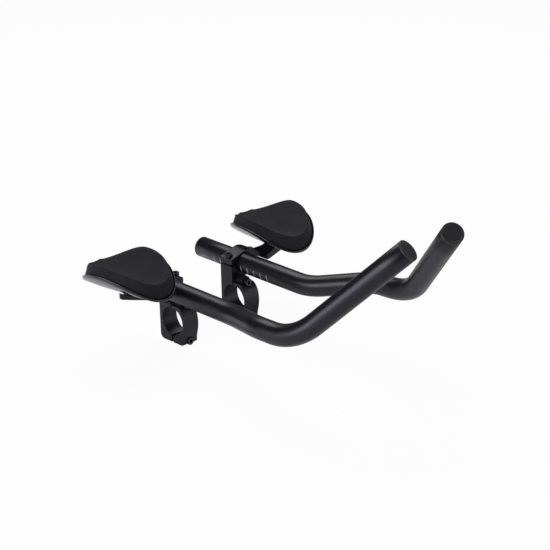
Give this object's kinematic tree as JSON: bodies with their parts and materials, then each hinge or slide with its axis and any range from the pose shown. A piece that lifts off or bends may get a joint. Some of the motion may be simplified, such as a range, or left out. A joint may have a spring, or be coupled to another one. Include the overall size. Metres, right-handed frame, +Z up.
{
  "type": "clip-on aero bar",
  "caption": "A pair of clip-on aero bar extensions: bent tubes in split handlebar clamps, with padded armrest cups beside them",
  "frame": {"origin": "on the handlebar's axis, midway between the two handlebar clamps", "axes": "+X to the rider's right along the handlebar, +Y forward in the riding direction, +Z up"},
  "size_m": [0.2816, 0.3891, 0.1877],
  "materials": {
    "tube": "satin black anodised",
    "plug": "matte",
    "clamp": "satin charcoal",
    "bracket": "satin charcoal",
    "bolt": "black oxide",
    "cup": "gloss",
    "hook_strip": "hook tape",
    "pad": "brushed knit over foam"
  },
  "bodies": {
    "clamps_and_armrests": {"right_clamp_body": "clamp", "right_bar_cap": "clamp", "right_bar_bolts": "bolt", "right_armrest_bracket": "bracket", "right_tube_bolts": "bolt", "right_armrest_cup": "cup", "right_cup_screws": "bolt", "right_hook_strips": "hook_strip", "right_armrest_pad": "pad", "left_clamp_body": "clamp", "left_bar_cap": "clamp", "left_bar_bolts": "bolt", "left_armrest_bracket": "bracket", "left_tube_bolts": "bolt", "left_armrest_cup": "cup", "left_cup_screws": "bolt", "left_hook_strips": "hook_strip", "left_armrest_pad": "pad"},
    "right_extension": {"right_extension_tube": "tube", "right_tip_plug": "plug", "right_rear_plug": "plug"},
    "left_extension": {"left_extension_tube": "tube", "left_tip_plug": "plug", "left_rear_plug": "plug"}
  },
  "joints": [
    {"name": "right_extension_slide", "type": "slide", "parent": "clamps_and_armrests", "child": "right_extension", "axis": [0, 1, 0], "range_m": [-0.05, 0.035]},
    {"name": "left_extension_slide", "type": "slide", "parent": "clamps_and_armrests", "child": "left_extension", "axis": [0, 1, 0], "range_m": [-0.05, 0.035]}
  ]
}
